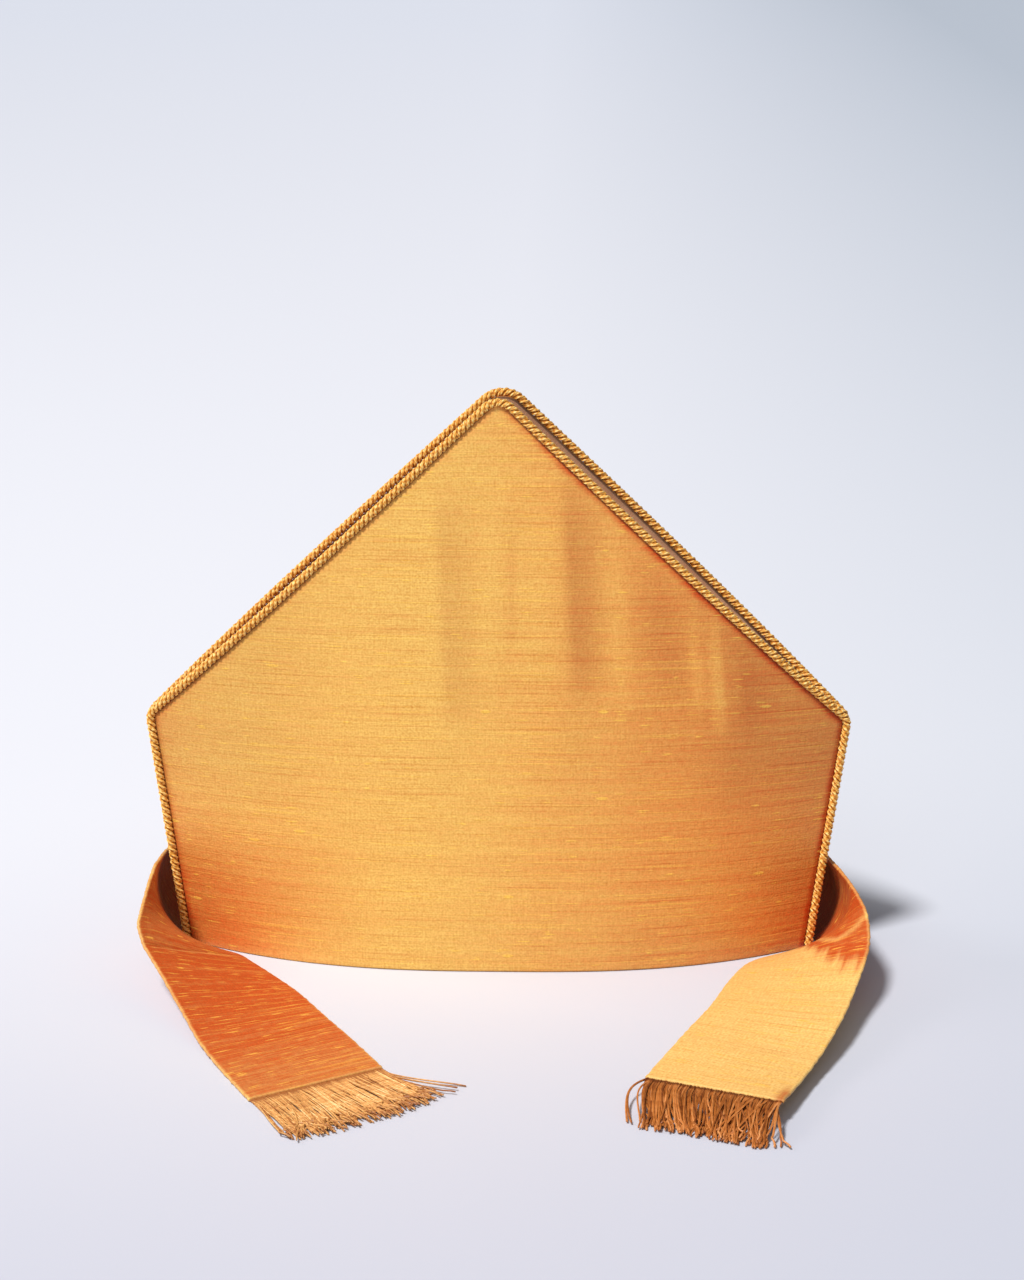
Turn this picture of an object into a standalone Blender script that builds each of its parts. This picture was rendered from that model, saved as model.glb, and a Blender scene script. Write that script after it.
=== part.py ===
"""A bishop's mitre that stands nearly closed, with its two lappets drawn round to the front.

Metres, +Z up, and the mitre's face looks along -Y. Two stiffened pentagonal panels meet at their
side seams and bow apart between them. A twisted cord edges each panel, a soft gusset hangs in a
fold between the two peaks, and a fringed lappet leaves each side of the rear panel's base.
"""
import math

import bmesh
import bpy
import numpy as np

MM = 0.001

# The panels, as cut: a pentagon that widens from its base to its shoulders.
BASE_HALF_WIDTH = 0.141
SHOULDER_HALF_WIDTH = 0.1555
SHOULDER_HEIGHT = 0.1095
PEAK_HEIGHT = 0.2579
PEAK_RADIUS = 0.010
SHOULDER_RADIUS = 0.004
PANEL_THICKNESS = 0.0024

# How far each panel bows out from the plane of the side seams.
BOW_AT_BASE = 0.0334
BOW_AT_PEAK = 0.0114
BOW_POWER = 2.7
SEAM_OFFSET = 0.00164
REAR_PEAK_LEAN = 0.0017

# The space left between two pieces that touch on the real mitre.
GAP = 0.0003

CORD_RADIUS = 0.00162
CORD_FORWARD = 0.0007
CORD_END_HEIGHT = 0.0008
CORD_BEVEL_RESOLUTION = 2

GUSSET_THICKNESS = 0.001
GUSSET_HALF_WIDTH = 0.148
GUSSET_FOLD_HEIGHT = 0.112
GUSSET_FOLD_SAG = 0.004
GUSSET_TOP_INSET = 0.0005
GUSSET_SPREAD_POWER = 1.2
GUSSET_SWING_POWER = 1.5
GUSSET_WIDTH_POWER = 0.7
GUSSET_HEIGHT_POWER = 1.8

LAPPET_THICKNESS = 0.0016
LAPPET_CLEARANCE = 0.0002
LAPPET_ROOT_INNER = 0.040
LAPPET_ROOT_OUTER = 0.100
# Each row of the lappet's tab: its height, and how much further it stands off the panel.
LAPPET_TAB = ((0.0026, 0.0024), (0.0048, 0.0006), (0.0095, 0.0))

FRINGE_LOCKS = 10
FRINGE_HEADER_DEPTH = 0.0030
FRINGE_HEADER_HALF_HEIGHT = 0.0008
FRINGE_LOCK_HALF_HEIGHT = 0.0011
FRINGE_TIP_HALF_HEIGHT = 0.0007
FRINGE_TIP_HEIGHT = 0.0010
FRINGE_ROOT_SHARE = 0.80
FRINGE_TIP_SHARE = 0.45

# How finely each piece is divided.
SIDE_STEPS = 3
SHOULDER_STEPS = 4
SLOPE_STEPS = 12
PEAK_STEPS = 5
PANEL_COLUMNS = 20
GUSSET_COLUMNS = 24
GUSSET_ROWS = 12
LAPPET_COLUMNS = 6
LAPPET_STEPS = 3
FRINGE_STEPS = 6
SHARP_ANGLE = math.radians(35)
MERGE_DISTANCE = 1e-6

# Each lappet, from its fringed end back to where it leaves the rear panel, in millimetres.
# x runs outwards from the mitre's middle, so the same columns serve both sides. The inner edge
# stays on the table, and the outer edge rises as the strip turns the corner of the mitre. The
# bulge is how far the strip's middle stands off the straight line between its edges.
LAPPET_TABLE = ("inner_x", "inner_y", "inner_z", "outer_x", "outer_y", "outer_z", "bulge")
LEFT_LAPPET = (
    (45.0, -143.0, 1.0, 97.5, -176.0, 1.0, 0.0),
    (58.5, -116.5, 1.0, 111.0, -149.8, 1.2, 0.0),
    (73.0, -90.0, 1.0, 124.0, -123.5, 3.0, 0.2),
    (86.5, -65.0, 1.0, 136.2, -98.0, 9.6, 0.6),
    (101.5, -43.0, 1.1, 149.0, -74.0, 18.0, 0.8),
    (115.0, -24.5, 1.2, 155.1, -63.4, 22.0, 0.6),
    (118.5, -21.5, 1.2, 158.3, -56.7, 29.0, 0.6),
    (125.5, -17.0, 1.2, 157.9, -49.5, 33.5, 2.0),
    (137.0, -10.5, 1.0, 156.0, -35.0, 41.0, 3.5),
    (146.2, -4.0, 1.0, 154.2, -25.5, 45.8, 4.5),
    (146.4, 5.0, 1.0, 153.9, -12.5, 44.2, 6.0),
    (146.2, 20.0, 1.0, 152.9, 6.5, 41.7, 8.0),
    (142.0, 37.0, 1.0, 149.5, 22.0, 40.0, 9.5),
)
# The left lappet is creased across at this row of its table, where it turns up off the floor.
LEFT_CREASE_ROW = 5
RIGHT_LAPPET = (
    (64.0, -161.0, 6.0, 118.5, -190.5, 9.5, 0.0),
    (79.6, -124.0, 7.3, 133.0, -155.0, 8.5, 0.0),
    (94.8, -87.0, 7.2, 148.0, -119.0, 14.0, 0.5),
    (103.5, -59.0, 6.0, 157.0, -90.5, 18.5, 1.0),
    (115.0, -32.0, 4.0, 164.7, -63.0, 28.0, 1.5),
    (127.0, -18.0, 1.8, 164.7, -45.0, 34.7, 3.0),
    (138.5, -9.8, 1.0, 161.5, -33.0, 38.6, 5.0),
    (146.4, -3.0, 1.0, 158.4, -22.0, 40.6, 7.0),
    (146.4, 7.0, 1.0, 155.8, -10.0, 40.8, 7.5),
    (146.2, 20.0, 1.0, 152.9, 6.0, 39.7, 8.0),
    (142.0, 37.0, 1.0, 149.5, 22.0, 39.0, 9.5),
)
# Both lappets double back behind the mitre in the same way.
LAPPET_BEHIND = (
    (131.0, 53.0, 1.0, 144.0, 35.0, 38.0, 10.0),
    (115.0, 65.0, 1.0, 137.0, 45.0, 34.0, 10.0),
    (96.0, 71.0, 1.0, 128.5, 50.5, 28.5, 9.0),
    (77.0, 69.5, 1.0, 119.0, 51.5, 21.0, 7.0),
    (60.0, 61.5, 1.0, 110.5, 46.0, 12.5, 4.0),
    (47.5, 50.5, 1.0, 104.0, 37.5, 5.0, 2.0),
    (41.5, 43.0, 1.0, 101.0, 30.5, 1.8, 1.0),
)

# Where the fringe's locks end, in millimetres: place is 0 at the lappet's inner edge and 1 at
# its outer edge, and lift is the height that the lock is drawn towards at its middle.
FRINGE_TABLE = ("place", "tip_x", "tip_y", "lift")
LEFT_FRINGE = (
    (0.00, 18.0, -171.0, 3.0),
    (0.35, 36.0, -188.0, 3.2),
    (0.70, 60.0, -204.0, 3.0),
    (1.00, 77.0, -213.0, 2.8),
)
RIGHT_FRINGE = (
    (0.00, 61.0, -198.0, 6.0),
    (0.35, 79.0, -204.0, 6.6),
    (0.70, 97.0, -211.0, 7.4),
    (1.00, 112.0, -217.0, 8.0),
)

SILK_GOLD = (0.76, 0.41, 0.12)
SILK_ORANGE = (0.72, 0.22, 0.07)
CORD_GOLD = (0.58, 0.36, 0.12)
LINING_TAUPE = (0.40, 0.22, 0.15)
FRINGE_GOLD = (0.64, 0.41, 0.17)


def clear_scene():
    """Remove every object of the open scene."""
    for item in list(bpy.data.objects):
        bpy.data.objects.remove(item, do_unlink=True)


def cloth(name, colour, roughness):
    """Return a plain material of one colour."""
    material = bpy.data.materials.new(name)
    material.use_nodes = True
    shader = material.node_tree.nodes["Principled BSDF"]
    shader.inputs["Base Color"].default_value = (*colour, 1.0)
    shader.inputs["Roughness"].default_value = roughness
    shader.inputs["Metallic"].default_value = 0.0
    return material


def add_piece(name, data, material):
    """Put mesh or curve data into the scene as an object with its material."""
    piece = bpy.data.objects.new(name, data)
    data.materials.append(material)
    bpy.context.scene.collection.objects.link(piece)
    return piece


def closed_mesh(name, points, faces):
    """Return a mesh of the given closed faces, with doubled points merged and faces outwards."""
    mesh = bpy.data.meshes.new(name)
    mesh.from_pydata([tuple(point) for point in points], [], faces)
    body = bmesh.new()
    body.from_mesh(mesh)
    bmesh.ops.remove_doubles(body, verts=body.verts, dist=MERGE_DISTANCE)
    bmesh.ops.recalc_face_normals(body, faces=body.faces)
    body.to_mesh(mesh)
    body.free()
    mesh.shade_smooth()
    mesh.set_sharp_from_angle(angle=SHARP_ANGLE)
    return mesh


def wall_mesh(name, front, back):
    """Return the closed mesh between two grids of points, joined round their rims."""
    rows, columns = front.shape[:2]
    numbers = np.arange(rows * columns).reshape(rows, columns)
    quads = np.stack((numbers[:-1, :-1], numbers[:-1, 1:], numbers[1:, 1:], numbers[1:, :-1]), -1)
    quads = quads.reshape(-1, 4)
    rim = np.concatenate(
        (numbers[0, :-1], numbers[:-1, -1], numbers[-1, :0:-1], numbers[:0:-1, 0]))
    after = np.roll(rim, -1)
    count = rows * columns
    sides = np.stack((rim, after, after + count, rim + count), -1)
    points = np.vstack((front.reshape(-1, 3), back.reshape(-1, 3)))
    faces = quads.tolist() + (quads + count)[:, ::-1].tolist() + sides[:, ::-1].tolist()
    return closed_mesh(name, points, faces)


def unit(vectors):
    """Return the vectors at length one."""
    return vectors / np.linalg.norm(vectors, axis=-1, keepdims=True)


def slab_mesh(name, middle, thickness, lowest):
    """Return the closed mesh half a thickness to each side of a grid, kept above a height."""
    down = np.gradient(middle, axis=0)
    along = np.gradient(middle, axis=1)
    normals = unit(np.cross(down, along)) * thickness / 2
    faces = np.stack((middle + normals, middle - normals))
    faces[..., 2] = np.maximum(faces[..., 2], lowest)
    return wall_mesh(name, *faces)


def smoothed(rows, steps, crease=None):
    """Return the rows with steps to each old one, along a smooth curve that bends at a crease."""
    middles = rows.reshape(len(rows), -1, 3).mean(axis=1)
    spans = np.linalg.norm(np.diff(middles, axis=0), axis=1)
    slopes = np.gradient(rows, np.concatenate(([0.0], np.cumsum(spans))), axis=0)
    before, after = slopes.copy(), slopes.copy()
    if crease is not None:
        before[crease] = (rows[crease] - rows[crease - 1]) / spans[crease - 1]
        after[crease] = (rows[crease + 1] - rows[crease]) / spans[crease]
    curve = [rows[0]]
    for i, span in enumerate(spans):
        for step in range(1, steps + 1):
            t = step / steps
            curve.append(
                rows[i] * (2 * t**3 - 3 * t**2 + 1) + rows[i + 1] * (3 * t**2 - 2 * t**3)
                + after[i] * span * (t**3 - 2 * t**2 + t) + before[i + 1] * span * (t**3 - t**2))
    return np.array(curve)


def columns_of(table, names):
    """Return a table's columns by name, with its lengths in metres and its shares as they are."""
    values = np.array(table).T
    return {
        name: column if name == "place" else column * MM for name, column in zip(names, values)}


def half_outline():
    """Return the right half of a panel's edge, from base to peak, and its outward normals."""
    base = np.array((BASE_HALF_WIDTH, 0.0))
    shoulder = np.array((SHOULDER_HALF_WIDTH, SHOULDER_HEIGHT))
    peak = np.array((0.0, PEAK_HEIGHT))
    side_way = unit(shoulder - base)
    slope_way = unit(peak - shoulder)
    side_normal = np.array((side_way[1], -side_way[0]))
    slope_normal = np.array((slope_way[1], -slope_way[0]))
    inward = (side_normal + slope_normal) / (1 + side_normal @ slope_normal)
    shoulder_centre = shoulder - inward * SHOULDER_RADIUS
    peak_centre = peak - np.array((0.0, PEAK_RADIUS / slope_normal[1]))

    shoulder_normals = fan(side_normal, slope_normal, SHOULDER_STEPS)
    peak_normals = fan(slope_normal, np.array((0.0, 1.0)), PEAK_STEPS)
    shoulder_arc = shoulder_centre + shoulder_normals * SHOULDER_RADIUS
    peak_arc = peak_centre + peak_normals * PEAK_RADIUS
    side = straight(base, shoulder_arc[0], SIDE_STEPS)[:-1]
    slope = straight(shoulder_arc[-1], peak_arc[0], SLOPE_STEPS)[1:-1]

    points = np.vstack((side, shoulder_arc, slope, peak_arc))
    normals = np.vstack((
        np.tile(side_normal, (len(side), 1)), shoulder_normals,
        np.tile(slope_normal, (len(slope), 1)), peak_normals))
    return points, normals


def fan(first, last, steps):
    """Return unit vectors turning evenly from the first to the last."""
    start = math.atan2(first[1], first[0])
    end = math.atan2(last[1], last[0])
    angles = np.linspace(start, end, steps + 1)
    return np.stack((np.cos(angles), np.sin(angles)), -1)


def straight(start, end, steps):
    """Return evenly spaced points from start to end."""
    return start + (end - start) * np.linspace(0.0, 1.0, steps + 1)[:, None]


def bow_depth(z):
    """Return how far a panel stands out at its middle, at a height."""
    return BOW_AT_BASE + (BOW_AT_PEAK - BOW_AT_BASE) * z / PEAK_HEIGHT


def seam_half_width(z):
    """Return the half width over which a panel bows, at a height."""
    share = np.minimum(z / SHOULDER_HEIGHT, 1.0)
    return BASE_HALF_WIDTH + (SHOULDER_HALF_WIDTH - BASE_HALF_WIDTH) * share


def panel_middle(x, z):
    """Return how far a panel's middle surface is from the plane of the seams."""
    share = np.abs(x) / seam_half_width(z)
    return SEAM_OFFSET + bow_depth(z) * (1 - share**BOW_POWER)


def panel_face(x, z, side):
    """Return how far a panel's outer (side 1) or inner (side -1) face is from that plane."""
    share = np.abs(x) / seam_half_width(z)
    slope = bow_depth(z) * BOW_POWER / seam_half_width(z) * share ** (BOW_POWER - 1)
    return panel_middle(x, z) + side * PANEL_THICKNESS / 2 * np.sqrt(1 + slope**2)


def lean(z, facing):
    """Return how far the rear panel's (facing 1) peak leans to the right, at a height."""
    above = np.maximum(z - SHOULDER_HEIGHT, 0.0) / (PEAK_HEIGHT - SHOULDER_HEIGHT)
    return REAR_PEAK_LEAN * above * (1 + facing) / 2


def make_panel(name, facing, material):
    """Add a bowed pentagonal panel, the front one for facing -1 and the rear one for 1."""
    edge = half_outline()[0]
    shares = np.sin(np.linspace(-1.0, 1.0, PANEL_COLUMNS + 1) * math.pi / 2)
    x = edge[:, 0, None] * shares
    z = np.repeat(edge[:, 1, None], len(shares), axis=1)
    outer = np.stack((x + lean(z, facing), facing * panel_face(x, z, 1), z), -1)
    inner = np.stack((x + lean(z, facing), facing * panel_face(x, z, -1), z), -1)
    return add_piece(name, wall_mesh(name, outer, inner), material)


def make_cord(name, facing, material):
    """Add the cord round a panel's side edges, shoulders and peak."""
    edge, normals = half_outline()
    path = edge + normals * (CORD_RADIUS + GAP)
    middle = np.maximum(
        panel_middle(edge[:, 0], edge[:, 1]) + CORD_FORWARD, CORD_RADIUS + GAP / 2)
    path[0, 1] = CORD_END_HEIGHT
    right = np.stack((path[:, 0], facing * middle, path[:, 1]), -1)
    left = right[-2::-1] * (-1, 1, 1)
    points = np.vstack((right, left))
    points[:, 0] += lean(points[:, 2], facing)
    curve = bpy.data.curves.new(name, "CURVE")
    curve.dimensions = "3D"
    spline = curve.splines.new("POLY")
    spline.points.add(len(points) - 1)
    for knot, point in zip(spline.points, points):
        knot.co = (*point, 1.0)
    curve.bevel_depth = CORD_RADIUS
    curve.bevel_resolution = CORD_BEVEL_RESOLUTION
    curve.use_fill_caps = True
    return add_piece(name, curve, material)


def make_gusset(material):
    """Add the soft web that joins the two peaks and hangs in a fold between the panels."""
    edge = half_outline()[0][SIDE_STEPS + SHOULDER_STEPS:]
    spread = np.linspace(-1.0, 1.0, GUSSET_COLUMNS + 1)
    x = GUSSET_HALF_WIDTH * np.sign(spread) * np.abs(spread) ** GUSSET_SPREAD_POWER
    top = np.interp(np.abs(x), edge[::-1, 0], edge[::-1, 1]) - GUSSET_TOP_INSET
    fold = GUSSET_FOLD_HEIGHT - GUSSET_FOLD_SAG * (1 - (x / GUSSET_HALF_WIDTH) ** 2)
    reach = panel_face(x, top, -1) - GAP - GUSSET_THICKNESS / 2
    swing = np.linspace(-1.0, 1.0, GUSSET_ROWS + 1)
    swing = (np.sign(swing) * np.abs(swing) ** GUSSET_SWING_POWER)[:, None]
    y = reach * np.sign(swing) * np.abs(swing) ** GUSSET_WIDTH_POWER
    z = fold + (top - fold) * np.abs(swing) ** GUSSET_HEIGHT_POWER
    middle = np.stack((x + lean(z, swing), y, z), -1)
    return add_piece("gusset", slab_mesh("gusset", middle, GUSSET_THICKNESS, 0.0), material)


def lappet_rows(table, crease=None):
    """Return a lappet's grid of points, from its fringed end to its tab on the rear panel."""
    column = columns_of(table + LAPPET_BEHIND, LAPPET_TABLE)
    inner = np.stack((column["inner_x"], column["inner_y"], column["inner_z"]), -1)
    outer = np.stack((column["outer_x"], column["outer_y"], column["outer_z"]), -1)
    across = outer - inner
    out = unit(np.cross(np.gradient((inner + outer) / 2, axis=0), across))
    share = np.linspace(0.0, 1.0, LAPPET_COLUMNS + 1)
    arch = (4 * share * (1 - share))[None, :, None]
    rows = inner[:, None] + across[:, None] * share[None, :, None]
    rows = rows + out[:, None] * column["bulge"][:, None, None] * arch

    x = LAPPET_ROOT_INNER + (LAPPET_ROOT_OUTER - LAPPET_ROOT_INNER) * share
    tab = []
    for height, standoff in LAPPET_TAB:
        z = np.full_like(x, height)
        y = panel_face(x, z, 1) + GAP + LAPPET_THICKNESS / 2 + standoff
        tab.append(np.stack((x, y, z), -1))
    return smoothed(np.concatenate((rows, tab)), LAPPET_STEPS, crease)


def make_lappet(name, hand, table, crease, material):
    """Add a lappet on the left (hand -1) or the right (hand 1)."""
    middle = lappet_rows(table, crease) * (hand, 1, 1)
    return add_piece(name, slab_mesh(name, middle, LAPPET_THICKNESS, LAPPET_CLEARANCE), material)


def lock_ring(centre, across, half_width, half_height):
    """Return the four corners of a lock's section, with its width along across."""
    up = np.array((0.0, 0.0, half_height))
    wide = across * half_width
    return [centre - wide - up, centre + wide - up, centre + wide + up, centre - wide + up]


def header_ends(count, margin):
    """Return the shares of the header's length at which each lock begins and ends."""
    return [(lock + side) / count for lock in range(count) for side in (margin, 1 - margin)]


def header_faces(sections):
    """Return the faces of a header of four-cornered sections, left open in front of each lock."""
    faces = [[0, 1, 2, 3]]
    for i in range(sections - 1):
        a, b = 4 * i, 4 * i + 4
        faces += [[a, b, b + 1, a + 1], [a + 2, b + 2, b + 3, a + 3], [a + 3, b + 3, b, a]]
        if i % 2:
            faces.append([a + 1, b + 1, b + 2, a + 2])
    last = 4 * sections - 4
    faces.append([last, last + 3, last + 2, last + 1])
    return faces


def add_lock(points, faces, ring, across, root, draw, tip, root_half):
    """Add a lock to the points and faces: its section tapers along a curve from root to tip."""
    for step in range(1, FRINGE_STEPS + 1):
        t = step / FRINGE_STEPS
        centre = root * (1 - t) ** 2 + draw * 2 * t * (1 - t) + tip * t**2
        half_width = root_half * (1 - t + t * FRINGE_TIP_SHARE)
        half_height = FRINGE_LOCK_HALF_HEIGHT * (1 - t) + FRINGE_TIP_HALF_HEIGHT * t
        start = len(points)
        points += lock_ring(centre, across, half_width, half_height)
        here = [start, start + 1, start + 2, start + 3]
        faces += [[ring[k], ring[k - 3], here[k - 3], here[k]] for k in range(4)]
        ring = here
    faces.append(ring)


def make_fringe(name, hand, lappet, table, material):
    """Add a lappet's fringe: a narrow header with tapering locks that reach the table."""
    end = lappet_rows(lappet)
    column = columns_of(table, FRINGE_TABLE)
    inner, outer = end[0, 0], end[0, -1]
    across = unit(outer - inner)
    width = np.linalg.norm(outer - inner)
    ahead = unit(np.cross(across, (0.0, 0.0, 1.0)))
    back = inner + ahead * GAP
    front = back + ahead * FRINGE_HEADER_DEPTH

    places = header_ends(FRINGE_LOCKS, (1 - FRINGE_ROOT_SHARE) / 2)
    up = np.array((0.0, 0.0, FRINGE_HEADER_HALF_HEIGHT))
    points = []
    for place in places:
        slide = across * width * place
        points += [back + slide - up, front + slide - up, front + slide + up, back + slide + up]
    faces = header_faces(len(places))

    root_half = width / FRINGE_LOCKS * FRINGE_ROOT_SHARE / 2
    for lock in range(FRINGE_LOCKS):
        place = (lock + 0.5) / FRINGE_LOCKS
        root = front + across * width * place
        tip = np.array((
            np.interp(place, column["place"], column["tip_x"]),
            np.interp(place, column["place"], column["tip_y"]), FRINGE_TIP_HEIGHT))
        draw = (root + tip) / 2
        draw[2] = np.interp(place, column["place"], column["lift"])
        a = 8 * lock
        ring = [a + 1, a + 5, a + 6, a + 2]
        add_lock(points, faces, ring, across, root, draw, tip, root_half)
    points = np.array(points) * (hand, 1, 1)
    return add_piece(name, closed_mesh(name, points, faces), material)


def set_down(pieces):
    """Carry the pieces on one empty, with the middle of their footprint over the origin."""
    corners = np.array([
        point.co[:] for piece in pieces if piece.type == "MESH" for point in piece.data.vertices])
    middle = (corners.min(axis=0) + corners.max(axis=0)) / 2
    stand = bpy.data.objects.new("mitre_stand", None)
    bpy.context.scene.collection.objects.link(stand)
    stand.location = (-middle[0], -middle[1], 0.0)
    for piece in pieces:
        piece.parent = stand


def main():
    """Build the mitre."""
    clear_scene()
    gold = cloth("silk_gold", SILK_GOLD, 0.45)
    orange = cloth("silk_orange", SILK_ORANGE, 0.45)
    cord = cloth("cord_gold", CORD_GOLD, 0.5)
    lining = cloth("lining_taupe", LINING_TAUPE, 0.8)
    fringe = cloth("fringe_gold", FRINGE_GOLD, 0.55)
    set_down([
        make_panel("front_panel", -1, gold),
        make_panel("rear_panel", 1, gold),
        make_cord("front_cord", -1, cord),
        make_cord("rear_cord", 1, cord),
        make_gusset(lining),
        make_lappet("lappet_left", -1, LEFT_LAPPET, LEFT_CREASE_ROW, orange),
        make_lappet("lappet_right", 1, RIGHT_LAPPET, None, orange),
        make_fringe("fringe_left", -1, LEFT_LAPPET, LEFT_FRINGE, fringe),
        make_fringe("fringe_right", 1, RIGHT_LAPPET, RIGHT_FRINGE, fringe),
    ])


main()
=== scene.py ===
import math

import bmesh
import bpy
import numpy as np
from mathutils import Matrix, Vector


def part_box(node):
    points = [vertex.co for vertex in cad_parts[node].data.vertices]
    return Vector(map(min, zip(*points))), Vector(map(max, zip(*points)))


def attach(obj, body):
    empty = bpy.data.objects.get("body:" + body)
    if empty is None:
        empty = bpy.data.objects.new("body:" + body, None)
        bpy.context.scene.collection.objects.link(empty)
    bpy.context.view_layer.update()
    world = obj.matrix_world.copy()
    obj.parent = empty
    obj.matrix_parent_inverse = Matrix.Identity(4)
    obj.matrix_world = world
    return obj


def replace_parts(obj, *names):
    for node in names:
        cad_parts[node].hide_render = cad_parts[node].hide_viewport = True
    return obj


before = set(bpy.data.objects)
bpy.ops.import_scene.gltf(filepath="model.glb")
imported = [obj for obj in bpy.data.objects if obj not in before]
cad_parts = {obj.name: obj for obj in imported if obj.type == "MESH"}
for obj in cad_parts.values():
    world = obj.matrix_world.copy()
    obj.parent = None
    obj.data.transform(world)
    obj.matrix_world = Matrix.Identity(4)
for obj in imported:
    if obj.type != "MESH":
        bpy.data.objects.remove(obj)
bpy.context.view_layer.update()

MM = 0.001
chance = np.random.default_rng(29)

front_low, front_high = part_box("front_panel")
rear_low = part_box("rear_panel")[0]
SET_DOWN = np.array(((front_low.x + front_high.x) / 2, (front_high.y + rear_low.y) / 2, 0.0))

# The panels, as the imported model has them.
BASE_HALF_WIDTH = 0.141
SHOULDER_HALF_WIDTH = 0.1555
SHOULDER_HEIGHT = 0.1095
PEAK_HEIGHT = 0.2579
PEAK_RADIUS = 0.010
FRONT_PEAK_RADIUS = 0.0065
FRONT_PEAK_DROP = 0.0005
SHOULDER_RADIUS = 0.004
PANEL_THICKNESS = 0.0024
BOW_AT_BASE = 0.0334
BOW_AT_PEAK = 0.0114
BOW_POWER = 2.7
SEAM_OFFSET = 0.00164
REAR_PEAK_LEAN = 0.0017
GAP = 0.0003

CORD_RADIUS = 0.00162
CORD_FORWARD = 0.0007
CORD_END_HEIGHT = 0.0008

GUSSET_THICKNESS = 0.001
GUSSET_HALF_WIDTH = 0.148
GUSSET_FOLD_HEIGHT = 0.112
GUSSET_FOLD_SAG = 0.004
GUSSET_TOP_INSET = 0.0005
GUSSET_SPREAD_POWER = 1.2
GUSSET_SWING_POWER = 1.5
GUSSET_WIDTH_POWER = 0.7
GUSSET_HEIGHT_POWER = 1.8
GUSSET_CREASE = 0.00022

LAPPET_THICKNESS = 0.0016
LAPPET_CLEARANCE = 0.0002
LAPPET_ROOT_INNER = 0.040
LAPPET_ROOT_OUTER = 0.100
# The rows of the tab by which a lappet joins the rear panel: its height, and how far it stands off.
LAPPET_TAB = ((0.0026, 0.0024), (0.0048, 0.0006), (0.0095, 0.0))

# The lappets' routes, from the fringed end back to the rear panel, in millimetres: each row is
# the inner edge, the outer edge and how far the strip's middle stands off the line between them.
LAPPET_TABLE = ("inner_x", "inner_y", "inner_z", "outer_x", "outer_y", "outer_z", "bulge")
LEFT_LAPPET = (
    (45.0, -143.0, 1.0, 97.5, -176.0, 1.0, 0.0),
    (58.5, -116.5, 1.0, 111.0, -149.8, 1.2, 0.0),
    (73.0, -90.0, 1.0, 124.0, -123.5, 3.0, 0.2),
    (86.5, -65.0, 1.0, 136.2, -98.0, 9.6, 0.6),
    (101.5, -43.0, 1.1, 149.0, -74.0, 18.0, 0.8),
    (115.0, -24.5, 1.2, 155.1, -63.4, 22.0, 0.6),
    (118.5, -21.5, 1.2, 158.3, -56.7, 29.0, 0.6),
    (125.5, -17.0, 1.2, 157.9, -49.5, 33.5, 2.0),
    (137.0, -10.5, 1.0, 156.0, -35.0, 41.0, 3.5),
    (146.2, -4.0, 1.0, 154.2, -25.5, 45.8, 4.5),
    (146.4, 5.0, 1.0, 153.9, -12.5, 44.2, 6.0),
    (146.2, 20.0, 1.0, 152.9, 6.5, 41.7, 8.0),
    (142.0, 37.0, 1.0, 149.5, 22.0, 40.0, 9.5),
)
# The left lappet is creased across at this row of its table, where it turns up off the floor.
LEFT_CREASE_ROW = 5
RIGHT_LAPPET = (
    (64.0, -161.0, 6.0, 118.5, -190.5, 9.5, 0.0),
    (79.6, -124.0, 7.3, 133.0, -155.0, 8.5, 0.0),
    (94.8, -87.0, 7.2, 148.0, -119.0, 14.0, 0.5),
    (103.5, -59.0, 6.0, 157.0, -90.5, 18.5, 1.0),
    (115.0, -32.0, 4.0, 164.7, -63.0, 28.0, 1.5),
    (127.0, -18.0, 1.8, 164.7, -45.0, 34.7, 3.0),
    (138.5, -9.8, 1.0, 161.5, -33.0, 38.6, 5.0),
    (146.4, -3.0, 1.0, 158.4, -22.0, 40.6, 7.0),
    (146.4, 7.0, 1.0, 155.8, -10.0, 40.8, 7.5),
    (146.2, 20.0, 1.0, 152.9, 6.0, 39.7, 8.0),
    (142.0, 37.0, 1.0, 149.5, 22.0, 39.0, 9.5),
)
LAPPET_BEHIND = (
    (131.0, 53.0, 1.0, 144.0, 35.0, 38.0, 10.0),
    (115.0, 65.0, 1.0, 137.0, 45.0, 34.0, 10.0),
    (96.0, 71.0, 1.0, 128.5, 50.5, 28.5, 9.0),
    (77.0, 69.5, 1.0, 119.0, 51.5, 21.0, 7.0),
    (60.0, 61.5, 1.0, 110.5, 46.0, 12.5, 4.0),
    (47.5, 50.5, 1.0, 104.0, 37.5, 5.0, 2.0),
    (41.5, 43.0, 1.0, 101.0, 30.5, 1.8, 1.0),
)

# Where the fringes' threads end, in millimetres: place runs from 0 at the lappet's inner edge to
# 1 at its outer edge, and lift is the height that a thread is drawn towards at its middle.
FRINGE_TABLE = ("place", "tip_x", "tip_y", "lift")
LEFT_FRINGE = (
    (0.00, 18.0, -171.0, 3.0),
    (0.35, 36.0, -188.0, 3.2),
    (0.70, 60.0, -204.0, 3.0),
    (1.00, 77.0, -213.0, 2.8),
)
RIGHT_FRINGE = (
    (0.00, 61.0, -198.0, 6.0),
    (0.35, 79.0, -204.0, 6.6),
    (0.70, 97.0, -211.0, 7.4),
    (1.00, 112.0, -217.0, 8.0),
)


# ---------------------------------------------------------------------------- small helpers

def rows_of(names, table):
    """A table's rows, each with its values under their columns' names."""
    return [dict(zip(names, row)) for row in table]


def columns_of(names, table):
    """A table's columns as arrays under their names, in the table's own units."""
    return {name: np.array(column) for name, column in zip(names, zip(*table))}


def unit(vectors):
    """The vectors at length one."""
    return vectors / np.linalg.norm(vectors, axis=-1, keepdims=True)


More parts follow.
